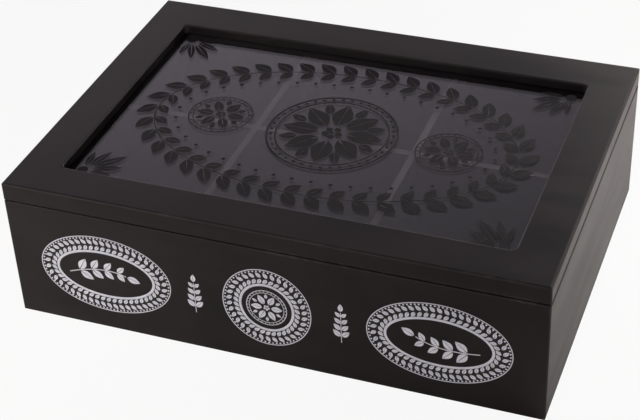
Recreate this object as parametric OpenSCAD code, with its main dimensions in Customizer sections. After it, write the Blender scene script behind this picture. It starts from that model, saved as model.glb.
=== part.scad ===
// Six-compartment tea box with a glazed, hinged lid.
// Millimetres. +Z is up and -Y is the front.
// The origin is the middle of the box's underside.

/* [Box] */
// Width of the box, left to right
box_w = 240; // [200:1:320]
// Depth of the box, front face to back face
box_d = 171; // [140:1:240]
// Height of the box without its lid
body_h = 60; // [50:0.5:90]
// Thickness of the four wall boards
wall_t = 9; // [8:0.5:12]
// Thickness of the base board
base_t = 3; // [2:0.5:5]
// How far the base board is let into the walls
base_lap = 4.5; // [2:0.5:6]
// How far the side boards are let into the front and back boards
corner_lap = 4.5; // [2:0.5:6]
// Rounding on the outer edges of the box and lid
edge_r = 1; // [0.5:0.1:1.5]
// Rounding on the two edges that meet at the seam under the lid
seam_r = 0.5; // [0.2:0.1:0.8]

/* [Dividers] */
// Thickness of the divider boards
divider_t = 3; // [2:0.5:5]
// How far the dividers stay below the rim
divider_drop = 1; // [0.5:0.5:12]
// Play around each divider, at its ends and in its slots
divider_play = 0.15; // [0.05:0.05:0.3]

/* [Lid] */
// Thickness of the lid board
lid_t = 8.5; // [8:0.5:12]
// Gap between the rim of the box and the lid
seam_gap = 0.5; // [0.4:0.1:1]
// Width of the lid's border at each end of the window
side_border = 19.25; // [17:0.25:30]
// Width of the lid's border in front of the window
front_border = 19; // [17:0.5:30]
// Width of the lid's border behind the window
back_border = 21.5; // [17:0.5:30]
// Corner radius of the window
window_r = 3; // [2:0.5:6]
// Rounding on the top edge of the window
window_edge_r = 0.6; // [0.3:0.1:1.2]
// Thickness of the glass
glass_t = 2; // [1.5:0.5:3]
// Depth of the glass below the top of the lid
glass_recess = 4.25; // [2.5:0.25:5]
// Width of the ledge that the glass lies against
ledge_w = 5; // [3:0.5:7]
// Corner radius of the pocket for the glass
pocket_r = 4; // [2:0.5:6]
// Play of the glass and its beads in the pocket
glass_play = 0.2; // [0.1:0.05:0.4]

/* [Hinges] */
// Distance from the end of the box to the middle of each hinge
hinge_inset = 45; // [30:1:60]
// Length of each hinge
hinge_len = 30; // [26:1:40]
// Thickness of the hinge leaves
leaf_t = 1; // [0.8:0.1:1.2]
// Height of the box leaf, from the pin down
box_leaf_h = 14; // [11:0.5:20]
// Distance from the top of the lid leaf to the top of the lid
lid_leaf_margin = 1.5; // [0.5:0.5:1.5]
// Corner radius of the hinge leaves
leaf_r = 1.5; // [0.5:0.5:2]
// Number of knuckles, shared between the two leaves
knuckles = 5; // [3:2:7]
// Gap between neighbouring knuckles
knuckle_play = 0.2; // [0.1:0.05:0.3]
// Space left in each leaf behind the other leaf's knuckles
knuckle_relief = 0.8; // [0.7:0.1:1.2]
// Diameter of the hinge pin
pin_d = 1.6; // [1.4:0.1:2]
// Running clearance around the pin, on the radius
pin_play = 0.05; // [0.03:0.01:0.09]
// Gap between the hinge barrel and the wood around it
barrel_gap = 0.4; // [0.3:0.1:0.6]

/* [Screws] */
// Diameter of the screw shanks
screw_d = 2; // [1.6:0.1:2.2]
// Diameter of the countersunk heads
screw_head_d = 3.6; // [3:0.1:3.8]
// Length of the screws, from the face of the leaf
screw_len = 8; // [6:0.5:8.5]
// Distance of the screws from the ends of the leaf
screw_inset = 6; // [4:0.5:8]
// Play around the screws, on the radius
screw_play = 0.05; // [0.03:0.01:0.1]

/* [Hidden] */
$fn = 48;
// Overshoot of cutting tools past the faces that they cut
over = 1;

lacquer = "#2b292b";
lacquer_inside = "#343134";
glass_tint = [0.42, 0.40, 0.43, 0.45];
nickel = "#b9b6ae";

inner_w = box_w - 2 * wall_t;
inner_d = box_d - 2 * wall_t;
side_len = inner_d + 2 * corner_lap;
lid_z = body_h + seam_gap;
top_z = lid_z + lid_t;

// Three columns of equal width lie between the two cross dividers
column_w = (inner_w - 2 * divider_t) / 3;
cross_x = (column_w + divider_t) / 2;
divider_h = body_h - divider_drop - base_t;
lap_z = base_t + divider_h / 2;
slot_w = divider_t + 2 * divider_play;

window_w = box_w - 2 * side_border;
window_d = box_d - front_border - back_border;
window_y = (front_border - back_border) / 2;
pocket_w = window_w + 2 * ledge_w;
pocket_d = window_d + 2 * ledge_w;
glass_z = top_z - glass_recess - glass_t;
bead_t = glass_z - lid_z;

bore_r = pin_d / 2 + pin_play;
barrel_r = bore_r + leaf_t;
pin_y = box_d / 2 + leaf_t - barrel_r;
pin_z = lid_z - barrel_gap - barrel_r;
knuckle_len = (hinge_len - (knuckles - 1) * knuckle_play) / knuckles;
leaf_root = barrel_r + knuckle_relief;
lid_leaf_h = top_z - lid_leaf_margin - pin_z;
// Heights of the two rows of screws above the pin
box_screw_z = -(box_leaf_h + leaf_root) / 2;
lid_screw_z = (lid_leaf_h + lid_z - pin_z) / 2;
screw_r = screw_d / 2;
head_r = screw_head_d / 2;

// Shapes that several pieces share

module rounded_rect(w, d, r) {
    square([w - 2 * r, d], center = true);
    square([w, d - 2 * r], center = true);
    for (x = [-1, 1], y = [-1, 1])
        translate([x * (w / 2 - r), y * (d / 2 - r)]) circle(r);
}

// Upright section with rounded edges, standing on the X axis
module edge_profile(w, h, r_low, r_top) {
    translate([-w / 2, r_low]) square([w, h - r_low - r_top]);
    translate([-w / 2 + r_low, 0]) square([w - 2 * r_low, r_low]);
    translate([-w / 2 + r_top, h - r_top]) square([w - 2 * r_top, r_top]);
    for (x = [-1, 1]) {
        translate([x * (w / 2 - r_low), r_low]) circle(r_low);
        translate([x * (w / 2 - r_top), h - r_top]) circle(r_top);
    }
}

// Block whose upright, lower and upper edges are all rounded
module eased_block(w, d, h, r_low, r_top) {
    intersection() {
        translate([0, 0, -over]) linear_extrude(h + 2 * over) rounded_rect(w, d, edge_r);
        rotate([90, 0, 0]) translate([0, 0, -d / 2 - over])
            linear_extrude(d + 2 * over) edge_profile(w, h, r_low, r_top);
        rotate([90, 0, 90]) translate([0, 0, -w / 2 - over])
            linear_extrude(w + 2 * over) edge_profile(d, h, r_low, r_top);
    }
}

// Cylinder along X, centred on the origin
module bar(r, length) {
    rotate([0, 90, 0]) cylinder(r = r, h = length, center = true);
}

// Box walls and base

module body_envelope() {
    eased_block(box_w, box_d, body_h, edge_r, seam_r);
}

// Space that one side board takes up, side is -1 for left and 1 for right
module side_board_space(side) {
    translate([side * (box_w - wall_t) / 2, 0, body_h / 2])
        cube([wall_t, side_len, body_h], center = true);
}

module base_space() {
    translate([0, 0, base_t / 2])
        cube([inner_w + 2 * base_lap, inner_d + 2 * base_lap, base_t], center = true);
}

// Front or back board with rebates for the side boards and the base
module long_wall(side) {
    difference() {
        intersection() {
            body_envelope();
            translate([0, side * (box_d - wall_t) / 2, body_h / 2])
                cube([box_w + over, wall_t, body_h + over], center = true);
        }
        for (end = [-1, 1]) side_board_space(end);
        base_space();
    }
}

module side_wall(side) {
    difference() {
        intersection() {
            body_envelope();
            side_board_space(side);
        }
        base_space();
    }
}

module front_panel() {
    color(lacquer) long_wall(-1);
}

module back_panel() {
    color(lacquer) difference() {
        long_wall(1);
        for (side = [-1, 1]) at_hinge(side) {
            hinge_gain();
            screw_holes(box_screw_z);
        }
    }
}

module left_panel() {
    color(lacquer) side_wall(-1);
}

module right_panel() {
    color(lacquer) side_wall(1);
}

module base_panel() {
    color(lacquer_inside) base_space();
}

// Dividers, halved over each other like an egg crate

module long_divider() {
    color(lacquer_inside) difference() {
        translate([0, 0, base_t + divider_h / 2])
            cube([inner_w - 2 * divider_play, divider_t, divider_h], center = true);
        for (side = [-1, 1])
            translate([side * cross_x, 0, lap_z - divider_play / 2 + divider_h / 2])
                cube([slot_w, divider_t + over, divider_h], center = true);
    }
}

module cross_divider(side) {
    color(lacquer_inside) difference() {
        translate([side * cross_x, 0, base_t + divider_h / 2])
            cube([divider_t, inner_d - 2 * divider_play, divider_h], center = true);
        translate([side * cross_x, 0, lap_z + divider_play / 2 - divider_h / 2])
            cube([divider_t + over, slot_w, divider_h], center = true);
    }
}

// Lid

// Section of the waste that a rounding-over cutter takes, from the wall of the window at X = 0
module edge_waste_section() {
    difference() {
        translate([-over, -window_edge_r]) square([over + window_edge_r, window_edge_r + over]);
        translate([window_edge_r, -window_edge_r]) circle(window_edge_r);
    }
}

// Waste along the top edge of the window, one quarter at a time
module window_edge_waste() {
    for (x = [0, 1], y = [0, 1]) mirror([x, 0, 0]) mirror([0, y, 0])
        translate([window_w / 2 - window_r, window_d / 2 - window_r, top_z]) {
            rotate_extrude(angle = 90) translate([window_r, 0]) edge_waste_section();
            rotate([90, 0, 0]) linear_extrude(window_d / 2 - window_r)
                translate([window_r, 0]) edge_waste_section();
            rotate([90, 0, -90]) mirror([1, 0, 0]) linear_extrude(window_w / 2 - window_r)
                translate([window_r, 0]) edge_waste_section();
        }
}

module window_outline() {
    rounded_rect(window_w, window_d, window_r);
}

module lid_frame() {
    color(lacquer) difference() {
        translate([0, 0, lid_z]) eased_block(box_w, box_d, lid_t, seam_r, edge_r);
        translate([0, window_y, 0]) {
            translate([0, 0, lid_z - over]) linear_extrude(lid_t + 2 * over) window_outline();
            translate([0, 0, lid_z - over]) linear_extrude(lid_t - glass_recess + over)
                rounded_rect(pocket_w, pocket_d, pocket_r);
            window_edge_waste();
        }
        for (side = [-1, 1]) at_hinge(side) screw_holes(lid_screw_z);
    }
}

module pocket_outline() {
    rounded_rect(pocket_w - 2 * glass_play, pocket_d - 2 * glass_play, pocket_r);
}

module glass_pane() {
    color(glass_tint) translate([0, window_y, glass_z]) linear_extrude(glass_t) pocket_outline();
}

// One of the four mitred beads that hold the glass, turned to the side that it lies on
module bead(angle) {
    across = angle % 180 == 0 ? window_w : window_d;
    reach = angle % 180 == 0 ? window_d : window_w;
    past = 2 * ledge_w;
    color(lacquer_inside) translate([0, window_y, lid_z]) linear_extrude(bead_t) intersection() {
        difference() {
            pocket_outline();
            window_outline();
        }
        rotate(angle) polygon([
            [ledge_w - across / 2, ledge_w - reach / 2],
            [-past - across / 2, -past - reach / 2],
            [past + across / 2, -past - reach / 2],
            [across / 2 - ledge_w, ledge_w - reach / 2]
        ]);
    }
}

// Hinges, drawn with the pin on the X axis and the outside of the box towards +Y

function knuckle_x(i) = -hinge_len / 2 + knuckle_len / 2 + i * (knuckle_len + knuckle_play);

// Moves a piece from the X axis to the left or right hinge
module at_hinge(side) {
    translate([side * (box_w / 2 - hinge_inset), pin_y, pin_z]) children();
}

// Round-bottomed gain for the barrel in the top of the back board
module hinge_gain() {
    gain_r = barrel_r + barrel_gap;
    gain_len = hinge_len + 2 * barrel_gap;
    bar(gain_r, gain_len);
    translate([-gain_len / 2, -gain_r, 0]) cube([gain_len, gain_r + barrel_r + over, gain_r + over]);
    translate([-gain_len / 2, 0, -gain_r]) cube([gain_len, barrel_r + over, gain_r + over]);
}

// The two screws of a leaf, which point into the wood from its outer face
module at_screws(z) {
    for (end = [-1, 1]) translate([end * (hinge_len / 2 - screw_inset), barrel_r, z])
        rotate([90, 0, 0]) children();
}

module screw_holes(z) {
    at_screws(z) translate([0, 0, -over]) cylinder(r = screw_r + screw_play, h = screw_len + 2 * over);
}

module countersunk_holes(z) {
    screw_holes(z);
    at_screws(z) translate([0, 0, -screw_play])
        cylinder(r1 = head_r + 2 * screw_play, r2 = screw_r + screw_play, h = head_r - screw_r + screw_play);
}

// Flat of a leaf that stands up from the pin, with its two far corners rounded
module leaf_flat(leaf_h) {
    rotate([90, 0, 0]) linear_extrude(leaf_t) {
        translate([-hinge_len / 2, leaf_root]) square([hinge_len, leaf_h - leaf_root - leaf_r]);
        translate([leaf_r - hinge_len / 2, leaf_root]) square([hinge_len - 2 * leaf_r, leaf_h - leaf_root]);
        for (end = [-1, 1]) translate([end * (hinge_len / 2 - leaf_r), leaf_h - leaf_r]) circle(leaf_r);
    }
}

// Every second knuckle from number first on, each with its strap to the flat
module leaf_knuckles(first) {
    for (i = [first : 2 : knuckles - 1]) translate([knuckle_x(i), 0, 0]) {
        bar(barrel_r, knuckle_len);
        translate([-knuckle_len / 2, barrel_r - leaf_t, 0]) cube([knuckle_len, leaf_t, leaf_root + leaf_t]);
    }
}

// One hinge leaf, standing up from the pin: flat, knuckles, pin bore and countersunk holes
module hinge_leaf(first, leaf_h, screw_z) {
    difference() {
        union() {
            translate([0, barrel_r, 0]) leaf_flat(leaf_h);
            leaf_knuckles(first);
        }
        bar(bore_r, hinge_len + over);
        countersunk_holes(screw_z);
    }
}

module box_leaf(side) {
    color(nickel) at_hinge(side) mirror([0, 0, 1]) hinge_leaf(0, box_leaf_h, -box_screw_z);
}

module lid_leaf(side) {
    color(nickel) at_hinge(side) hinge_leaf(1, lid_leaf_h, lid_screw_z);
}

module hinge_pin(side) {
    color(nickel) at_hinge(side) bar(pin_d / 2, hinge_len);
}

// Countersunk wood screws with a plain shank and a pointed tip
module screws(z) {
    tip_h = screw_d;
    tip_r = screw_r / 4;
    color(nickel) for (side = [-1, 1]) at_hinge(side) at_screws(z) {
        cylinder(r1 = head_r, r2 = screw_r, h = head_r - screw_r);
        cylinder(r = screw_r, h = screw_len - tip_h);
        translate([0, 0, screw_len - tip_h]) cylinder(r1 = screw_r, r2 = tip_r, h = tip_h);
    }
}

front_panel();
back_panel();
left_panel();
right_panel();
base_panel();
long_divider();
cross_divider(-1);  // left_cross_divider
cross_divider(1);  // right_cross_divider
lid_frame();
glass_pane();
bead(0);  // front_bead
bead(90);  // right_bead
bead(180);  // back_bead
bead(270);  // left_bead
box_leaf(-1);  // left_box_leaf
lid_leaf(-1);  // left_lid_leaf
hinge_pin(-1);  // left_hinge_pin
box_leaf(1);  // right_box_leaf
lid_leaf(1);  // right_lid_leaf
hinge_pin(1);  // right_hinge_pin
screws(box_screw_z);  // box_leaf_screws
screws(lid_screw_z);  // lid_leaf_screws
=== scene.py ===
import math

import bmesh
import bpy
from mathutils import Matrix, Vector


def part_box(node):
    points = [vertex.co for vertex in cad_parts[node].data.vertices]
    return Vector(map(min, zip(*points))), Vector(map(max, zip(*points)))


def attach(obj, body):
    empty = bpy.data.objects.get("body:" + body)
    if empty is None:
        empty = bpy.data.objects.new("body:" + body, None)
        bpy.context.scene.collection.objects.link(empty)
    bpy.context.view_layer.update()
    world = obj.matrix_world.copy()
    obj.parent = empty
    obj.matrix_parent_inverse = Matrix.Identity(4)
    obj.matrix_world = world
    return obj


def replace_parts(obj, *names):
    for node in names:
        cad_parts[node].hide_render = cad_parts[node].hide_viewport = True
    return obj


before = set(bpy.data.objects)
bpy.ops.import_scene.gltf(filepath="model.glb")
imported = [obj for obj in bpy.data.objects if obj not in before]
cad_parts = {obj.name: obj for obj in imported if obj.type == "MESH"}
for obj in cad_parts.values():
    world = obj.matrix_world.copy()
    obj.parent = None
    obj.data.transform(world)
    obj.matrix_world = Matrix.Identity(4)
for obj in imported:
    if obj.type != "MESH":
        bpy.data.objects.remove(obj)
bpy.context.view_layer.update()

mm = 0.001


# Box walls
# Four fibreboard walls, nine millimetres thick, rebated and glued at the corners. They are sprayed
# with satin brown-black lacquer, which keeps a faint orange peel, soft sanding streaks and scuffs
# along the outer edges.

def put(tree, kind, inputs=None, **settings):
    """Adds a node, sets its properties, then sets or links the inputs that are named or numbered."""
    node = tree.nodes.new(kind)
    for name, value in settings.items():
        setattr(node, name, value)
    for name, value in (inputs or {}).items():
        if isinstance(value, bpy.types.NodeSocket):
            tree.links.new(value, node.inputs[name])
        else:
            node.inputs[name].default_value = value
    return node


def maths(tree, operation, *values):
    """The result of one Math node."""
    return put(tree, "ShaderNodeMath", dict(enumerate(values)), operation=operation).outputs[0]


def vectors(tree, operation, *values, out=0):
    """The result of one Vector Math node."""
    return put(tree, "ShaderNodeVectorMath", dict(enumerate(values)), operation=operation).outputs[out]


def spread(tree, value, low, high, to_low=0.0, to_high=1.0):
    """Maps a value from one range to another and holds it inside that range."""
    ends = {"Value": value, "From Min": low, "From Max": high, "To Min": to_low, "To Max": to_high}
    return put(tree, "ShaderNodeMapRange", ends, clamp=True).outputs[0]


def tint(tree, share, first, second):
    """Mixes two colours by a share that changes over the surface."""
    mix = put(tree, "ShaderNodeMix", {0: share, 6: first, 7: second}, data_type="RGBA")
    return mix.outputs[2]


def noise(tree, place, scale, detail=3.0, roughness=0.5):
    """The value of a noise pattern at a place in metres."""
    settings = {"Vector": place, "Scale": scale, "Detail": detail, "Roughness": roughness}
    return put(tree, "ShaderNodeTexNoise", settings).outputs["Fac"]


def new_group(name, inputs, outputs):
    """A shader node group with named sockets, and its first and last node."""
    tree = bpy.data.node_groups.new(name, "ShaderNodeTree")
    for label, kind, value in inputs:
        socket = tree.interface.new_socket(label, in_out="INPUT", socket_type="NodeSocket" + kind)
        socket.default_value = value
    for label, kind in outputs:
        tree.interface.new_socket(label, in_out="OUTPUT", socket_type="NodeSocket" + kind)
    return tree, tree.nodes.new("NodeGroupInput").outputs, tree.nodes.new("NodeGroupOutput").inputs


def rgb(red, green, blue):
    """A colour as it looks on screen, from 0 to 255, in the numbers that the shaders use."""
    return tuple((v / 255 / 12.92) if v < 11 else ((v / 255 + 0.055) / 1.055) ** 2.4
                 for v in (red, green, blue)) + (1.0,)


def new_material(name):
    """An empty material, its node tree and its shader."""
    material = bpy.data.materials.new(name)
    material.use_nodes = True
    return material, material.node_tree, material.node_tree.nodes["Principled BSDF"]


def relief(tree, shader, height, strength, depth):
    """Feeds a fine relief of a depth in metres to a shader's normal."""
    bump = put(tree, "ShaderNodeBump", {"Height": height, "Strength": strength, "Distance": depth})
    tree.links.new(bump.outputs["Normal"], shader.inputs["Normal"])


def sprayed_finish():
    """Mottle, long streaks and orange peel of a sprayed and sanded coat."""
    tree, given, result = new_group(
        "sprayed_finish",
        [("Place", "Vector", (0, 0, 0)), ("Streak Stretch", "Vector", (8, 110, 110)),
         ("Mottle Scale", "Float", 26.0), ("Peel Scale", "Float", 620.0)],
        [("Mottle", "Float"), ("Streak", "Float"), ("Height", "Float")])
    stretched = vectors(tree, "MULTIPLY", given["Place"], given["Streak Stretch"])
    mottle = noise(tree, given["Place"], given["Mottle Scale"], 4.0, 0.6)
    streak = noise(tree, stretched, 1.0, 4.0, 0.62)
    peel = noise(tree, given["Place"], given["Peel Scale"], 2.0, 0.45)
    grit = noise(tree, stretched, 9.0, 2.0, 0.5)
    tree.links.new(spread(tree, mottle, 0.32, 0.68), result["Mottle"])
    tree.links.new(spread(tree, streak, 0.30, 0.70), result["Streak"])
    tree.links.new(maths(tree, "ADD", peel, maths(tree, "MULTIPLY", grit, 0.35)), result["Height"])
    return tree


def rubbed_edges():
    """Where the edges of a rectangular block or opening lie and are worn, and where its sides are."""
    tree, given, result = new_group(
        "rubbed_edges",
        [("Place", "Vector", (0, 0, 0)), ("Centre", "Vector", (0, 0, 0)), ("Half Size", "Vector", (0, 0, 0)),
         ("Reach", "Float", 0.0014), ("Breakup Scale", "Float", 170.0)],
        [("Wear", "Float"), ("Edge", "Float"), ("Sides", "Float")])
    outwards = vectors(tree, "ABSOLUTE", vectors(tree, "SUBTRACT", given["Place"], given["Centre"]))
    inwards = vectors(tree, "SUBTRACT", given["Half Size"], outwards)
    inset = vectors(tree, "ABSOLUTE", inwards)
    x, y, z = put(tree, "ShaderNodeSeparateXYZ", {0: inset}).outputs
    inside_x, inside_y, _ = put(tree, "ShaderNodeSeparateXYZ", {0: inwards}).outputs
    nearer, farther = maths(tree, "MINIMUM", x, y), maths(tree, "MAXIMUM", x, y)
    from_edge = maths(tree, "MAXIMUM", nearer, maths(tree, "MINIMUM", farther, z))
    ragged = noise(tree, given["Place"], given["Breakup Scale"], 5.0, 0.7)
    patchy = noise(tree, given["Place"], 30.0, 2.0, 0.5)
    near = maths(tree, "SUBTRACT", 1.0, maths(tree, "DIVIDE", from_edge, given["Reach"]))
    broken = maths(tree, "MULTIPLY", spread(tree, ragged, 0.46, 0.62), spread(tree, patchy, 0.44, 0.60))
    inside = maths(tree, "MINIMUM", inside_x, inside_y)
    beside = spread(tree, inside, -1.5 * mm, -1.0 * mm)
    worn = maths(tree, "MULTIPLY", spread(tree, near, 0.0, 0.7), maths(tree, "MULTIPLY", broken, beside))
    tree.links.new(worn, result["Wear"])
    tree.links.new(maths(tree, "MULTIPLY", spread(tree, near, 0.0, 0.5), beside), result["Edge"])
    sides = spread(tree, maths(tree, "ABSOLUTE", inside), 0.1 * mm, 0.3 * mm, 1.0, 0.0)
    tree.links.new(sides, result["Sides"])
    return tree


sprayed, rubbed = sprayed_finish(), rubbed_edges()
lacquer_dark, lacquer_light, lacquer_worn = rgb(10, 8, 8), rgb(31, 26, 26), rgb(122, 114, 112)
# Lighter tone for the routed window sides: partly the cut board under a thin coat, partly painted light for
# the light those sides catch from the front.
lacquer_cut_and_lit = rgb(58, 52, 52)
lacquer_shine = (1.0, 0.95, 0.96, 1.0)
satin, satin_streak, wear_strength = 0.28, 0.38, 0.15
cut_dullness, edge_dullness, worn_dullness = 0.25, 0.3, 0.4
along_x, along_y = (9, 60, 60), (60, 9, 60)


def lacquer(name, streaks, block, opening=None):
    """Satin lacquer on a block, duller on its edges and on an opening's sides, which are partly painted
    light.
    """
    material, tree, shader = new_material(name)
    shader.inputs["Specular Tint"].default_value = lacquer_shine
    place = put(tree, "ShaderNodeTexCoord").outputs["Object"]
    coat = put(tree, "ShaderNodeGroup", {"Place": place, "Streak Stretch": streaks}, node_tree=sprayed)
    mottle, streak, height = coat.outputs

    def edges(low, high):
        around = {"Place": place, "Centre": (low + high) / 2, "Half Size": (high - low) / 2}
        return put(tree, "ShaderNodeGroup", around, node_tree=rubbed).outputs

    around_block = edges(*block)
    wear, edge = around_block["Wear"], around_block["Edge"]
    cloud = maths(tree, "MULTIPLY", maths(tree, "ADD", mottle, streak), 0.5)
    tone = tint(tree, spread(tree, cloud, 0.2, 0.8), lacquer_dark, lacquer_light)
    rough = spread(tree, streak, 0.0, 1.0, satin, satin_streak)
    if opening:
        around_opening = edges(*opening)
        wear = maths(tree, "MAXIMUM", wear, around_opening["Wear"])
        edge = maths(tree, "MAXIMUM", edge, around_opening["Edge"])
        # Partly painted light: the sides of the opening take the lighter tone.
        tone = tint(tree, around_opening["Sides"], tone, lacquer_cut_and_lit)
        rough = maths(tree, "ADD", rough, maths(tree, "MULTIPLY", around_opening["Sides"], cut_dullness))
    wear = maths(tree, "MULTIPLY", wear, wear_strength)
    rough = maths(tree, "ADD", rough, maths(tree, "MULTIPLY", edge, edge_dullness))
    tree.links.new(tint(tree, wear, tone, lacquer_worn), shader.inputs["Base Color"])
    rough = maths(tree, "ADD", rough, maths(tree, "MULTIPLY", wear, worn_dullness))
    tree.links.new(rough, shader.inputs["Roughness"])
    relief(tree, shader, height, 0.16, 0.12 * mm)
    return material


def dress(names, material):
    """Gives CAD nodes a material in their own slots."""
    for name in names:
        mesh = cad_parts[name].data
        mesh.materials.clear()
        mesh.materials.append(material)


box_low, box_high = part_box("front_panel")[0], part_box("back_panel")[1]
dress(["front_panel", "back_panel"], lacquer("lacquer_long_walls", along_x, (box_low, box_high)))
dress(["left_panel", "right_panel"], lacquer("lacquer_side_walls", along_y, (box_low, box_high)))


# Base board and dividers
# Three millimetre fibreboard: the base let into the walls from below, and three dividers halved
# over each other like an egg crate. They have one thin matt coat; the top edges of the dividers are
# painted much lighter, a painted highlight for the light that falls on them from above.

def matt_board(name, streaks, highlight_from):
    """Thin matt black coat, painted lighter above highlight_from: a painted highlight on lit top edges."""
    material, tree, shader = new_material(name)
    place = put(tree, "ShaderNodeTexCoord").outputs["Object"]
    coat = put(tree, "ShaderNodeGroup", {"Place": place, "Streak Stretch": streaks, "Peel Scale": 1400.0},
               node_tree=sprayed)
    mottle, streak, height = coat.outputs
    height_above = put(tree, "ShaderNodeSeparateXYZ", {0: place}).outputs["Z"]
    # Painted highlight: from highlight_from up, the top faces take the much lighter colour below, for the
    # light that falls on them from above.
    lit_top = spread(tree, height_above, highlight_from, highlight_from + 0.3 * mm)
    face = tint(tree, mottle, rgb(38, 35, 36), rgb(52, 48, 49))
    edge = tint(tree, streak, rgb(104, 98, 98), rgb(138, 131, 130))
    tree.links.new(tint(tree, lit_top, face, edge), shader.inputs["Base Color"])
    tree.links.new(spread(tree, streak, 0.0, 1.0, 0.52, 0.66), shader.inputs["Roughness"])
    relief(tree, shader, height, 0.3, 0.1 * mm)
    return material


divider_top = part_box("long_divider")[1].z
# Only the dividers reach above their line, so only their tops carry the painted highlight; the base and
# beads stay plain.
dress(["base_panel"], matt_board("matt_base", along_x, divider_top))
dress(["long_divider"], matt_board("matt_long_divider", along_x, divider_top - 0.25 * mm))
dress(["left_cross_divider", "right_cross_divider"],
      matt_board("matt_cross_dividers", along_y, divider_top - 0.25 * mm))


# Front print
# Three leaf wreaths in pale ink, screen printed on the front board before the last clear coat: a
# round one between two ovals, each around a sprig, with a small sprig in each gap.

ink_film, ink_key = 0.03 * mm, 0.01 * mm


def plates(name, outlines):
    """Closed plates of ink, one for each outline in the XY plane, as a motif to be repeated."""
    build = bmesh.new()
    for outline in outlines:
        under = [build.verts.new((x, y, -ink_key)) for x, y in outline]
        over = [build.verts.new((x, y, ink_film)) for x, y in outline]
        build.faces.new(over)
        build.faces.new(under[::-1])
        for i in range(len(outline)):
            j = (i + 1) % len(outline)
            build.faces.new((under[i], under[j], over[j], over[i]))
    mesh = bpy.data.meshes.new(name)
    build.to_mesh(mesh)
    build.free()
    shape = bpy.data.objects.new(name, mesh)
    bpy.context.collection.objects.link(shape)
    return shape


def disc(x, y, radius, sides=10):
    """A round outline."""
    turn = 2 * math.pi / sides
    return [(x + radius * math.cos(i * turn), y + radius * math.sin(i * turn)) for i in range(sides)]


def half_leaf(side, width=0.24, vein=0.02, stalk=0.1, points=8):
    """One half of a pointed leaf from the end of its stalk to 1, cut off at its vein. Side is 1 or -1."""
    outline = []
    for i in range(points + 1):
        share = i / points
        swell = width * math.sin(math.pi * share ** 0.85) + vein * (1 - 0.6 * share)
        outline.append((stalk + (1 - stalk) * share, side * swell))
    return outline[::-1] if side > 0 else outline


petals = [disc(0.62 * math.cos(i * math.tau / 5), 0.62 * math.sin(i * math.tau / 5), 0.33) for i in range(5)]
leaf = plates("leaf", [half_leaf(1), half_leaf(-1)])
blossom = plates("blossom", petals + [disc(0, 0, 0.2, 8)])
berry = plates("berry", [disc(0, 0, 1, 8)])


def shape_tree(name, *inputs):
    """An empty geometry tree with named inputs, and the sockets at its two ends."""
    tree = bpy.data.node_groups.new(name, "GeometryNodeTree")
    for label, kind in inputs:
        tree.interface.new_socket(label, in_out="INPUT", socket_type="NodeSocket" + kind)
    tree.interface.new_socket("Shape", in_out="OUTPUT", socket_type="NodeSocketGeometry")
    return tree, tree.nodes.new("NodeGroupInput").outputs, tree.nodes.new("NodeGroupOutput").inputs[0]


def xyz(tree, x, y, z):
    """A vector from three values."""
    return put(tree, "ShaderNodeCombineXYZ", {0: x, 1: y, 2: z}).outputs[0]


def motif(tree, source):
    """A motif object as a shape that can be repeated."""
    return put(tree, "GeometryNodeObjectInfo", {"Object": source, "As Instance": True}).outputs["Geometry"]


def oval(tree, half_width, half_height):
    """A closed curve around the origin."""
    circle = put(tree, "GeometryNodeCurvePrimitiveCircle", {"Resolution": 96, "Radius": 1.0}).outputs[0]
    scale = xyz(tree, half_width, half_height, 1.0)
    return put(tree, "GeometryNodeTransform", {"Geometry": circle, "Scale": scale}).outputs[0]


def evenly(tree, curve, count):
    """Points at even distances along a curve."""
    return put(tree, "GeometryNodeResampleCurve", {"Curve": curve, "Count": count}, mode="COUNT").outputs[0]


def repeat(tree, points, shape, size, lean=0.0, only=True):
    """Puts a shape on the points of a curve, turned by lean degrees from the way that the curve runs."""
    tangent = put(tree, "GeometryNodeInputTangent").outputs[0]
    ahead = put(tree, "FunctionNodeAlignRotationToVector", {"Vector": tangent}, axis="X", pivot_axis="Z")
    leaning = put(tree, "FunctionNodeRotateRotation", {0: ahead.outputs[0], 1: (0, 0, math.radians(lean))},
                  rotation_space="LOCAL")
    where = {"Points": points, "Instance": shape, "Selection": only, "Rotation": leaning.outputs[0],
             "Scale": xyz(tree, size, size, 1.0)}
    return put(tree, "GeometryNodeInstanceOnPoints", where).outputs[0]


def line(tree, curve, width):
    """A printed line of constant width."""
    flat = put(tree, "GeometryNodeSetCurveNormal", {"Curve": curve}, mode="Z_UP").outputs[0]
    section = put(tree, "GeometryNodeCurvePrimitiveQuadrilateral",
                  {"Width": width, "Height": ink_film + ink_key}, mode="RECTANGLE").outputs[0]
    band = put(tree, "GeometryNodeCurveToMesh", {"Curve": flat, "Profile Curve": section, "Fill Caps": True})
    raised = {"Geometry": band.outputs[0], "Translation": (0, 0, (ink_film - ink_key) / 2)}
    return put(tree, "GeometryNodeTransform", raised).outputs[0]


def finish(tree, shapes, material, result):
    """Joins the shapes of a tree into one real mesh with one material."""
    join = put(tree, "GeometryNodeJoinGeometry")
    for shape in shapes:
        tree.links.new(shape, join.inputs[0])
    real = put(tree, "GeometryNodeRealizeInstances", {"Geometry": join.outputs[0]}).outputs[0]
    coated = put(tree, "GeometryNodeSetMaterial", {"Geometry": real, "Material": material}).outputs[0]
    tree.links.new(coated, result)


def grown(tree, values):
    """Evaluates a geometry tree with named values, and gives back a plain mesh."""
    holder = bpy.data.objects.new(tree.name, bpy.data.meshes.new(tree.name))
    bpy.context.collection.objects.link(holder)
    modifier = holder.modifiers.new(tree.name, "NODES")
    modifier.node_group = tree
    for item in tree.interface.items_tree:
        if item.name in values:
            modifier[item.identifier] = values[item.name]
    bpy.context.view_layer.update()
    graph = bpy.context.evaluated_depsgraph_get()
    mesh = bpy.data.meshes.new_from_object(holder.evaluated_get(graph))
    bpy.data.objects.remove(holder)
    return mesh


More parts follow.
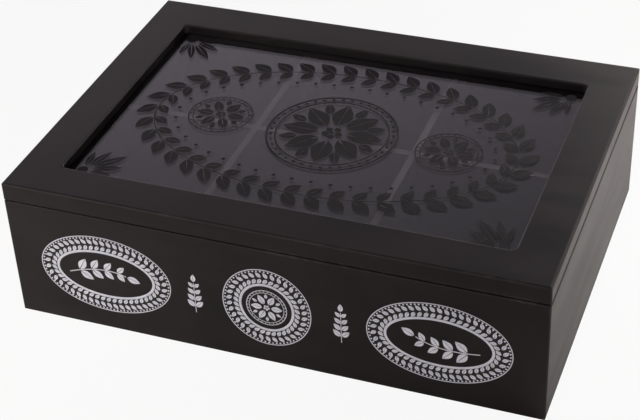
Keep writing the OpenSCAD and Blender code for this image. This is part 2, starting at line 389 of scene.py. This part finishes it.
def assembled(name, placed_meshes, material, body):
    """Joins meshes, each with its place, into one piece of one material that rides on a body."""
    build = bmesh.new()
    for mesh, place in placed_meshes:
        mesh.transform(place)
        build.from_mesh(mesh)
        bpy.data.meshes.remove(mesh)
    for face in build.faces:
        face.material_index = 0
    whole = bpy.data.meshes.new(name)
    build.to_mesh(whole)
    build.free()
    whole.materials.append(material)
    piece = bpy.data.objects.new(name, whole)
    bpy.context.collection.objects.link(piece)
    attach(piece, body)
    return piece


def wreath_tree():
    """Two rows of leaves in an oval band, with berries and a line outside and a wide line inside."""
    tree, given, result = shape_tree(
        "leaf_wreath", ("Half Width", "Float"), ("Half Height", "Float"), ("Band", "Float"),
        ("Leaves", "Int"), ("Leaf", "Object"), ("Berry", "Object"), ("Ink", "Material"))
    leaves, count = motif(tree, given["Leaf"]), given["Leaves"]

    def part(share):
        return maths(tree, "MULTIPLY", given["Band"], share)

    def ring(inset):
        return oval(tree, maths(tree, "SUBTRACT", given["Half Width"], part(inset)),
                    maths(tree, "SUBTRACT", given["Half Height"], part(inset)))

    berries = evenly(tree, ring(0.125), maths(tree, "MULTIPLY", count, 2.0))
    finish(tree, [
        line(tree, ring(0.025), part(0.05)),
        repeat(tree, berries, motif(tree, given["Berry"]), part(0.05)),
        repeat(tree, evenly(tree, ring(0.52), count), leaves, part(0.42), -50),
        repeat(tree, evenly(tree, ring(0.55), count), leaves, part(0.40), 50),
        line(tree, ring(0.93), part(0.14)),
    ], given["Ink"], result)
    return tree


def sprig_tree():
    """A curved stem with pairs of leaves that get smaller towards the single leaf at its tip."""
    tree, given, result = shape_tree(
        "sprig", ("Length", "Float"), ("Bow", "Float"), ("Pairs", "Int"), ("Leaf Size", "Float"),
        ("Leaf", "Object"), ("Ink", "Material"))
    half, leaf_size, shape = maths(tree, "MULTIPLY", given["Length"], 0.5), given["Leaf Size"], given["Leaf"]
    ends = {"Resolution": 24, "Start": xyz(tree, maths(tree, "MULTIPLY", half, -1.0), 0.0, 0.0),
            "Middle": xyz(tree, 0.0, given["Bow"], 0.0),
            "End": xyz(tree, maths(tree, "SUBTRACT", half, leaf_size), 0.0, 0.0)}
    stem = put(tree, "GeometryNodeCurveQuadraticBezier", ends).outputs[0]
    leafy = put(tree, "GeometryNodeTrimCurve", {"Curve": stem, "Start": 0.18, "End": 0.84}, mode="FACTOR")
    nodes = evenly(tree, leafy.outputs[0], given["Pairs"])
    share = put(tree, "GeometryNodeSplineParameter").outputs["Factor"]
    size = maths(tree, "MULTIPLY", leaf_size, spread(tree, share, 0.0, 1.0, 1.0, 0.7))
    tip = put(tree, "GeometryNodeCurveEndpointSelection", {"Start Size": 0, "End Size": 1}).outputs[0]
    tip_size = maths(tree, "MULTIPLY", leaf_size, 0.9)
    finish(tree, [
        line(tree, stem, maths(tree, "MULTIPLY", leaf_size, 0.06)),
        repeat(tree, nodes, motif(tree, shape), size, 46),
        repeat(tree, nodes, motif(tree, shape), size, -46),
        repeat(tree, evenly(tree, stem, 12), motif(tree, shape), tip_size, 0, tip),
    ], given["Ink"], result)
    return tree


def rosette_tree():
    """Petals around a blossom with small leaves between their tips, inside a ring of berries."""
    tree, given, result = shape_tree(
        "rosette", ("Radius", "Float"), ("Petals", "Int"), ("Leaf", "Object"), ("Blossom", "Object"),
        ("Berry", "Object"), ("Ink", "Material"))
    petal, count = motif(tree, given["Leaf"]), given["Petals"]

    def part(share):
        return maths(tree, "MULTIPLY", given["Radius"], share)

    def ring(share):
        return oval(tree, part(share), part(share))

    half_step = xyz(tree, 0.0, 0.0, maths(tree, "DIVIDE", math.pi, count))
    between = put(tree, "GeometryNodeTransform", {"Geometry": ring(0.50), "Rotation": half_step}).outputs[0]
    finish(tree, [
        repeat(tree, evenly(tree, ring(0.001), 1), motif(tree, given["Blossom"]), part(0.17)),
        repeat(tree, evenly(tree, ring(0.16), count), petal, part(0.62), -90),
        repeat(tree, evenly(tree, between, count), petal, part(0.30), -90),
        line(tree, ring(0.85), part(0.03)),
        repeat(tree, evenly(tree, ring(0.92), maths(tree, "MULTIPLY", count, 5)),
               motif(tree, given["Berry"]), part(0.028)),
        line(tree, ring(0.98), part(0.04)),
    ], given["Ink"], result)
    return tree


def printing_ink(name, thin, full, roughness, gloss):
    """Screen printing ink, a little thinner in patches and along the threads of the screen."""
    material, tree, shader = new_material(name)
    shader.inputs["Specular IOR Level"].default_value = gloss
    place = put(tree, "ShaderNodeTexCoord").outputs["Object"]
    patches = noise(tree, place, 240.0, 4.0, 0.65)
    threads = noise(tree, place, 2600.0, 1.0, 0.5)
    cover = maths(tree, "ADD", spread(tree, patches, 0.34, 0.60, 0.0, 0.75),
                  spread(tree, threads, 0.3, 0.7, 0.0, 0.25))
    tree.links.new(tint(tree, cover, thin, full), shader.inputs["Base Color"])
    dull = spread(tree, patches, 0.3, 0.7, roughness + 0.08, roughness - 0.08)
    tree.links.new(dull, shader.inputs["Roughness"])
    relief(tree, shader, threads, 0.25, 0.03 * mm)
    return material


wreath, sprig, rosette = wreath_tree(), sprig_tree(), rosette_tree()
pale_ink = printing_ink("pale_ink", rgb(224, 228, 238), rgb(242, 245, 250), 0.55, 0.4)
wreath_x, wreath_half_width, wreath_half_height, wreath_band = 75 * mm, 31 * mm, 20 * mm, 8.7 * mm
gap_sprig_x, oval_leaves, round_leaves = 33 * mm, 46, 34


def on_front(x, z, turn=0.0):
    """Places a flat design upright on the face of the front board."""
    return (Matrix.Translation((x, box_low.y, z)) @ Matrix.Rotation(math.radians(90), 4, "X")
            @ Matrix.Rotation(math.radians(turn), 4, "Z"))


def front_print(name, x, designs):
    """One printed mark on the front, from trees with their values and the angle that each is turned by."""
    motifs = {"Leaf": leaf, "Berry": berry, "Blossom": blossom, "Ink": pale_ink}
    shapes = [(grown(tree, {**motifs, **values}), on_front(x, box_high.z / 2, turn))
              for tree, values, turn in designs]
    assembled(name, shapes, pale_ink, "box")


def wreath_values(half_width, leaves):
    """The sizes of one wreath, which share their height and band."""
    return {"Half Width": half_width, "Half Height": wreath_half_height, "Band": wreath_band,
            "Leaves": leaves}


oval_sprig = {"Length": 35 * mm, "Bow": 5 * mm, "Pairs": 4, "Leaf Size": 7.6 * mm}
gap_sprig = {"Length": 21 * mm, "Bow": 0.0, "Pairs": 4, "Leaf Size": 5 * mm}
for side_name, side, turn in (("left", -1, 6), ("right", 1, 174)):
    front_print(side_name + "_wreath_print", side * wreath_x,
                [(wreath, wreath_values(wreath_half_width, oval_leaves), 0), (sprig, oval_sprig, turn)])
    front_print(side_name + "_sprig_print", side * gap_sprig_x, [(sprig, gap_sprig, 90)])
front_print("middle_wreath_print", 0.0,
            [(wreath, wreath_values(wreath_half_height, round_leaves), 0),
             (rosette, {"Radius": 9.2 * mm, "Petals": 6}, 0)])


# Lid
# One board with a routed window, lacquered as the walls are and scuffed along the window too. The
# routed sides of the window are duller and lighter, partly from the cut board and partly as painted
# light for the light they catch from the front. Four mitred strips are glued into the pocket
# underneath, where they hold the glass against its ledge.

lid_low, lid_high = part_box("lid_frame")
window_low = Vector((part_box("left_bead")[1].x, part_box("front_bead")[1].y, lid_low.z))
window_high = Vector((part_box("right_bead")[0].x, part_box("back_bead")[0].y, lid_high.z))
dress(["lid_frame"], lacquer("lacquer_lid", along_x, (lid_low, lid_high), (window_low, window_high)))
dress(["front_bead", "back_bead"], matt_board("matt_long_beads", along_x, lid_high.z))
dress(["left_bead", "right_bead"], matt_board("matt_short_beads", along_y, lid_high.z))


# Glass
# A two millimetre pane of clear float glass with ground edges, lightly smeared from handling. It
# lies in the pocket of the lid, a little more than four millimetres below the top.

def clear_glass():
    """Clear glass with faint smears."""
    material, tree, shader = new_material("float_glass")
    shader.inputs["Base Color"].default_value = (0.93, 0.95, 0.95, 1.0)
    shader.inputs["Transmission Weight"].default_value = 1.0
    shader.inputs["IOR"].default_value = 1.52
    place = put(tree, "ShaderNodeTexCoord").outputs["Object"]
    smear = noise(tree, vectors(tree, "MULTIPLY", place, (14, 30, 30)), 1.0, 5.0, 0.6)
    tree.links.new(spread(tree, smear, 0.45, 0.75, 0.0, 0.06), shader.inputs["Roughness"])
    return material


dress(["glass_pane"], clear_glass())


# Glass print
# A garland, a large and two small rosettes and four corner fans in matt dark ink, screen printed on
# top of the glass, so they only show where they take the shine off it.

def garland_tree():
    """Leaves along both sides of an oval stem, with berries inside them."""
    tree, given, result = shape_tree(
        "garland", ("Half Width", "Float"), ("Half Depth", "Float"), ("Leaves", "Int"),
        ("Leaf Size", "Float"), ("Leaf", "Object"), ("Berry", "Object"), ("Ink", "Material"))
    size, count, leaves = given["Leaf Size"], given["Leaves"], motif(tree, given["Leaf"])

    def part(share):
        return maths(tree, "MULTIPLY", size, share)

    def stem(inset):
        return oval(tree, maths(tree, "SUBTRACT", given["Half Width"], part(inset)),
                    maths(tree, "SUBTRACT", given["Half Depth"], part(inset)))

    nodes = evenly(tree, stem(0.0), count)
    finish(tree, [
        line(tree, stem(0.0), part(0.045)),
        repeat(tree, nodes, leaves, size, -42),
        repeat(tree, nodes, leaves, part(0.76), 45),
        repeat(tree, evenly(tree, stem(0.82), count), motif(tree, given["Berry"]), part(0.08)),
    ], given["Ink"], result)
    return tree


def corner_tree():
    """A motif in each corner of a rectangle, turned towards its middle."""
    tree, given, result = shape_tree(
        "corners", ("Width", "Float"), ("Depth", "Float"), ("Size", "Float"), ("Motif", "Object"),
        ("Ink", "Material"))
    frame_curve = put(tree, "GeometryNodeCurvePrimitiveQuadrilateral",
                      {"Width": given["Width"], "Height": given["Depth"]}, mode="RECTANGLE").outputs[0]
    finish(tree, [repeat(tree, frame_curve, motif(tree, given["Motif"]), given["Size"], 90)],
           given["Ink"], result)
    return tree


def turned(outline, degrees):
    """An outline turned about the origin."""
    along, up = math.cos(math.radians(degrees)), math.sin(math.radians(degrees))
    return [(x * along - y * up, x * up + y * along) for x, y in outline]


fan_leaves = ((-48, 0.68), (-24, 0.84), (0, 1.0), (24, 0.84), (48, 0.68))
fan = plates("fan", [turned([(x * length, y * length) for x, y in half_leaf(side, 0.09, 0.015, 0.25)], angle)
                     for angle, length in fan_leaves for side in (1, -1)] + [disc(0, 0, 0.12)])
dark_ink = printing_ink("dark_ink", rgb(46, 44, 47), rgb(34, 32, 35), 0.62, 0.3)
window_size, window_centre = window_high - window_low, (window_low + window_high) / 2
on_glass = Matrix.Translation((window_centre.x, window_centre.y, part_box("glass_pane")[1].z))

garland_margin, fan_margin, fan_length = 15.5 * mm, 5.5 * mm, 21 * mm
garland_values = {
    "Half Width": window_size.x / 2 - garland_margin, "Half Depth": window_size.y / 2 - garland_margin,
    "Leaves": 42, "Leaf Size": 12 * mm}
corner_values = {
    "Width": window_size.x - 2 * fan_margin, "Depth": window_size.y - 2 * fan_margin, "Size": fan_length}
large_rosette, small_rosette = {"Radius": 30 * mm, "Petals": 8}, {"Radius": 15 * mm, "Petals": 6}
small_rosette_x = 54 * mm
stamps = {"Leaf": leaf, "Blossom": blossom, "Berry": berry, "Motif": fan, "Ink": dark_ink}
glass_design = [(garland_tree(), garland_values, 0.0), (rosette, large_rosette, 0.0),
                (corner_tree(), corner_values, 0.0), (rosette, small_rosette, -small_rosette_x),
                (rosette, small_rosette, small_rosette_x)]
placed_design = [(grown(tree, {**stamps, **values}), on_glass @ Matrix.Translation((x, 0, 0)))
                 for tree, values, x in glass_design]
assembled("glass_print", placed_design, dark_ink, "lid")

for spent in (leaf, blossom, berry, fan):
    bpy.data.objects.remove(spent)


# Hinges
# Two steel butt hinges, nickel plated and brushed along their length. One leaf is screwed to the
# back board and one to the lid, and a pin through the five knuckles joins them.

def brushed_nickel():
    """Nickel plate with fine brush lines along X."""
    material, tree, shader = new_material("brushed_nickel")
    shader.inputs["Metallic"].default_value = 1.0
    place = put(tree, "ShaderNodeTexCoord").outputs["Object"]
    brushed = noise(tree, vectors(tree, "MULTIPLY", place, (60, 3200, 3200)), 1.0, 3.0, 0.6)
    cloud = noise(tree, place, 130.0, 3.0, 0.55)
    tree.links.new(tint(tree, cloud, rgb(178, 175, 168), rgb(206, 204, 198)), shader.inputs["Base Color"])
    tree.links.new(spread(tree, brushed, 0.3, 0.7, 0.24, 0.38), shader.inputs["Roughness"])
    relief(tree, shader, brushed, 0.15, 0.05 * mm)
    return material


nickel = brushed_nickel()
for side_name in ("left_", "right_"):
    dress([side_name + part for part in ("box_leaf", "lid_leaf", "hinge_pin")], nickel)


# Screws
# Eight countersunk steel wood screws with a cross recess, nickel plated, two through each leaf into
# the wood. A tree builds one screw and repeats it, each turned as far as it happened to go in.

def screw_tree():
    """Four screws in a row that point away from +Z, two about the middle of each hinge."""
    tree, given, result = shape_tree(
        "hinge_screws", ("Head Radius", "Float"), ("Shank Radius", "Float"), ("Length", "Float"),
        ("Pitch", "Float"), ("Hinge X", "Float"), ("Screw X", "Float"), ("Seed", "Int"),
        ("Steel", "Material"))
    head, shank, length = given["Head Radius"], given["Shank Radius"], given["Length"]

    def times(value, share):
        return maths(tree, "MULTIPLY", value, share)

    def moved(shape, z):
        place = {"Geometry": shape, "Translation": xyz(tree, 0.0, 0.0, z)}
        return put(tree, "GeometryNodeTransform", place).outputs[0]

    def cone(sides, top, bottom, depth):
        sizes = {"Vertices": sides, "Radius Top": top, "Radius Bottom": bottom, "Depth": depth}
        return put(tree, "GeometryNodeMeshCone", sizes).outputs["Mesh"]

    core, sink, end = times(shank, 0.74), maths(tree, "SUBTRACT", head, shank), times(length, -1.0)
    blade_size = xyz(tree, times(head, 1.15), times(head, 0.24), times(sink, 1.7))
    blade = put(tree, "GeometryNodeMeshCube", {"Size": blade_size}).outputs["Mesh"]
    quarter_turn = {"Geometry": blade, "Rotation": (0, 0, math.radians(90))}
    across = put(tree, "GeometryNodeTransform", quarter_turn).outputs[0]
    middle = moved(cone(12, times(head, 0.34), times(head, 0.05), times(sink, 1.8)), times(sink, -0.9))
    recessed = put(tree, "GeometryNodeMeshBoolean", operation="DIFFERENCE", solver="EXACT")
    tree.links.new(moved(cone(32, head, core, sink), times(sink, -1.0)), recessed.inputs["Mesh 1"])
    for cutter in (blade, across, middle):
        tree.links.new(cutter, recessed.inputs["Mesh 2"])

    tip = times(shank, 2.0)
    straight = maths(tree, "SUBTRACT", maths(tree, "SUBTRACT", length, sink), tip)
    bar_size = {"Vertices": 24, "Radius": core, "Depth": straight}
    bar = put(tree, "GeometryNodeMeshCylinder", bar_size).outputs["Mesh"]
    bar_place = times(maths(tree, "ADD", sink, times(straight, 0.5)), -1.0)
    run = times(length, 0.66)
    helix_size = {"Resolution": 20, "Rotations": maths(tree, "DIVIDE", run, given["Pitch"]),
                  "Start Radius": times(core, 0.35), "End Radius": core, "Height": run}
    helix = put(tree, "GeometryNodeCurveSpiral", helix_size).outputs[0]
    ridge_size = {"Resolution": 3, "Radius": maths(tree, "SUBTRACT", shank, core)}
    ridge = put(tree, "GeometryNodeCurvePrimitiveCircle", ridge_size).outputs[0]
    wound = {"Curve": helix, "Profile Curve": ridge, "Fill Caps": True}
    thread = put(tree, "GeometryNodeCurveToMesh", wound).outputs[0]
    one = put(tree, "GeometryNodeJoinGeometry")
    for shape in (recessed.outputs["Mesh"], moved(bar, bar_place),
                  moved(cone(24, core, times(core, 0.15), tip), end),
                  moved(thread, maths(tree, "ADD", end, times(given["Pitch"], 0.4)))):
        tree.links.new(shape, one.inputs[0])

    index = put(tree, "GeometryNodeInputIndex").outputs[0]
    hinge_side = spread(tree, index, 1.0, 2.0, -1.0, 1.0)
    screw_side = spread(tree, maths(tree, "MODULO", index, 2.0), 0.0, 1.0, -1.0, 1.0)
    x = maths(tree, "ADD", maths(tree, "MULTIPLY", hinge_side, given["Hinge X"]),
              maths(tree, "MULTIPLY", screw_side, given["Screw X"]))
    points = put(tree, "GeometryNodePoints", {"Count": 4, "Position": xyz(tree, x, 0.0, 0.0)}).outputs[0]
    turn = put(tree, "FunctionNodeRandomValue", {2: 0.0, 3: math.radians(90), "Seed": given["Seed"]},
               data_type="FLOAT").outputs[1]
    row = put(tree, "GeometryNodeInstanceOnPoints", {"Points": points, "Instance": one.outputs[0],
                                                     "Rotation": xyz(tree, 0.0, 0.0, turn)}).outputs[0]
    finish(tree, [row], given["Steel"], result)
    return tree


def hinge_screws(name, node, body, leaf_node, seed):
    """Replaces the plain screws of both leaves on one body by detailed ones of the same size."""
    low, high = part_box(node)
    leaf_low, leaf_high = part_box(leaf_node)
    head_radius, hinge_x = (high.z - low.z) / 2, (leaf_low.x + leaf_high.x) / 2
    row = grown(screws, {"Head Radius": head_radius, "Shank Radius": screw_radius, "Length": high.y - low.y,
                         "Pitch": screw_pitch, "Hinge X": hinge_x, "Screw X": high.x - head_radius - hinge_x,
                         "Seed": seed, "Steel": nickel})
    facing_back = (Matrix.Translation((0, high.y, (low.z + high.z) / 2))
                   @ Matrix.Rotation(math.radians(-90), 4, "X"))
    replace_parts(assembled(name, [(row, facing_back)], nickel, body), node)


screws, screw_radius, screw_pitch = screw_tree(), 1 * mm, 0.85 * mm
hinge_screws("box_hinge_screws", "box_leaf_screws", "box", "right_box_leaf", 3)
hinge_screws("lid_hinge_screws", "lid_leaf_screws", "lid", "right_lid_leaf", 8)


# Studio
# A pale floor between softly lit walls, with a softbox behind the box and one over the floor on each
# side of it. The camera stands in front of the box, a little to its right, and looks down on it.

floor_size, floor_white = 3.0, 0.92
lamp_colour = (1.0, 0.95, 0.93)


def seen_plainly(tree):
    """One where the camera looks at something directly, or through glass without a reflection."""
    path = put(tree, "ShaderNodeLightPath").outputs
    bounces = maths(tree, "ADD", path["Diffuse Depth"], path["Glossy Depth"])
    through = maths(tree, "MULTIPLY", path["Is Transmission Ray"], maths(tree, "LESS_THAN", bounces, 0.5))
    return maths(tree, "MAXIMUM", path["Is Camera Ray"], through)


def pale_floor():
    """A square of matt pale board that looks nearly white and keeps the box's shadow."""
    mesh = bpy.data.meshes.new("floor")
    half = floor_size / 2
    mesh.from_pydata([(-half, -half, 0), (half, -half, 0), (half, half, 0), (-half, half, 0)], [],
                     [(0, 1, 2, 3)])
    floor = bpy.data.objects.new("floor", mesh)
    bpy.context.collection.objects.link(floor)
    material, tree, shader = new_material("pale_floor")
    shader.inputs["Base Color"].default_value = (0.86, 0.84, 0.82, 1.0)
    shader.inputs["Roughness"].default_value = 0.9
    white = put(tree, "ShaderNodeEmission", {"Color": (1.0, 1.0, 1.0, 1.0), "Strength": 1.0})
    seen = maths(tree, "MULTIPLY", seen_plainly(tree), floor_white)
    mix = put(tree, "ShaderNodeMixShader", {0: seen, 1: shader.outputs[0], 2: white.outputs[0]})
    tree.links.new(mix.outputs["Shader"], tree.nodes["Material Output"].inputs["Surface"])
    mesh.materials.append(material)


pale_floor()


def softbox(name, place, target, width, height, opening, power):
    """A rectangular lamp at place that faces target, with its beam held to an opening in degrees."""
    lamp = bpy.data.lights.new(name, "AREA")
    lamp.shape = "RECTANGLE"
    lamp.size, lamp.size_y, lamp.spread = width, height, math.radians(opening)
    lamp.energy, lamp.color = power, lamp_colour
    holder = bpy.data.objects.new(name, lamp)
    holder.location = place
    holder.rotation_euler = (Vector(target) - Vector(place)).to_track_quat("-Z", "Y").to_euler()
    bpy.context.collection.objects.link(holder)


softbox("back_softbox", (0.25, 1.4, 0.45), (0, 0, 0), 0.7, 0.4, 180, 4.0)
softbox("right_floor_softbox", (0.42, 0.27, 0.6), (0.30, 0.13, 0), 0.3, 0.3, 50, 0.51)
softbox("left_floor_softbox", (-0.3, -0.5, 0.5), (-0.15, -0.12, 0), 0.2, 0.2, 35, 0.10)


def studio_walls():
    """Soft light from the walls around the table, by height and direction in degrees."""
    world = bpy.data.worlds.new("studio")
    bpy.context.scene.world = world
    world.use_nodes = True
    tree = world.node_tree
    ray = vectors(tree, "NORMALIZE", put(tree, "ShaderNodeTexCoord").outputs["Generated"])
    x, y, z = put(tree, "ShaderNodeSeparateXYZ", {0: ray}).outputs
    height = maths(tree, "DEGREES", maths(tree, "ARCSINE", z))
    side = maths(tree, "DEGREES", maths(tree, "ARCTAN2", x, y))

    def band(value, low, high, fade):
        rising = spread(tree, value, low - fade, low + fade)
        return maths(tree, "MULTIPLY", rising, spread(tree, value, high - fade, high + fade, 1.0, 0.0))

    def glow(strength, low, high, left, right, fade):
        area = maths(tree, "MULTIPLY", band(height, low, high, fade), band(side, left, right, fade))
        return maths(tree, "MULTIPLY", area, strength)

    def total(*values):
        whole = values[0]
        for value in values[1:]:
            whole = maths(tree, "ADD", whole, value)
        return whole

    turned_away = maths(tree, "ABSOLUTE", side)
    front_share = spread(tree, turned_away, 120, 150, 1.0, 0.5)
    skirting = maths(tree, "MULTIPLY", spread(tree, height, 11.0, 14.0, 2.0, 0.0), front_share)
    front_wall = maths(tree, "MULTIPLY", band(height, 4, 24, 3.0),
                       spread(tree, turned_away, 115, 140, 0.0, 0.8))
    back_wall = maths(tree, "MULTIPLY", spread(tree, height, 29, 37, 0.58, 0.35),
                      spread(tree, side, -22, -6, 1.0, 0.72))
    walls = total(glow(back_wall, 28, 41, -43, -3, 1.5), glow(1.1, 16, 24, -42, -27, 2.0),
                  glow(0.34, 23, 29, 8, 22, 2.0), glow(0.12, 14, 44, 115, 175, 5.0),
                  glow(0.1, 14, 50, -175, -115, 5.0))
    overhead = spread(tree, height, 50, 70, 0.0, 0.12)
    cool, warm = (0.97, 0.87, 1.0, 1.0), (1.0, 0.93, 0.91, 1.0)
    colour = tint(tree, spread(tree, height, 12, 25), warm, cool)
    strength = total(skirting, front_wall, walls, overhead)
    light = put(tree, "ShaderNodeBackground", {"Color": colour, "Strength": strength})
    blank = put(tree, "ShaderNodeBackground", {"Color": (1.0, 1.0, 1.0, 1.0), "Strength": 1.0})
    shown = {0: seen_plainly(tree), 1: light.outputs[0], 2: blank.outputs[0]}
    mixed = put(tree, "ShaderNodeMixShader", shown)
    tree.links.new(mixed.outputs[0], tree.nodes["World Output"].inputs["Surface"])


studio_walls()

camera_place = (0.21622, -0.55685, 0.45067)
camera_azimuth, camera_elevation, camera_roll = 21.95, 35.665, -2.847
focal_px, image_width_px, sensor_width = 1593.7, 640, 36.0

camera_data = bpy.data.cameras.new("camera")
camera_data.sensor_fit = "HORIZONTAL"
camera_data.sensor_width = sensor_width
camera_data.lens = sensor_width * focal_px / image_width_px
camera = bpy.data.objects.new("camera", camera_data)
camera.matrix_world = (Matrix.Translation(camera_place)
                       @ Matrix.Rotation(math.radians(camera_azimuth), 4, "Z")
                       @ Matrix.Rotation(math.radians(90 - camera_elevation), 4, "X")
                       @ Matrix.Rotation(math.radians(camera_roll), 4, "Z"))
bpy.context.collection.objects.link(camera)
bpy.context.scene.camera = camera
bpy.context.scene.view_settings.view_transform = "Standard"
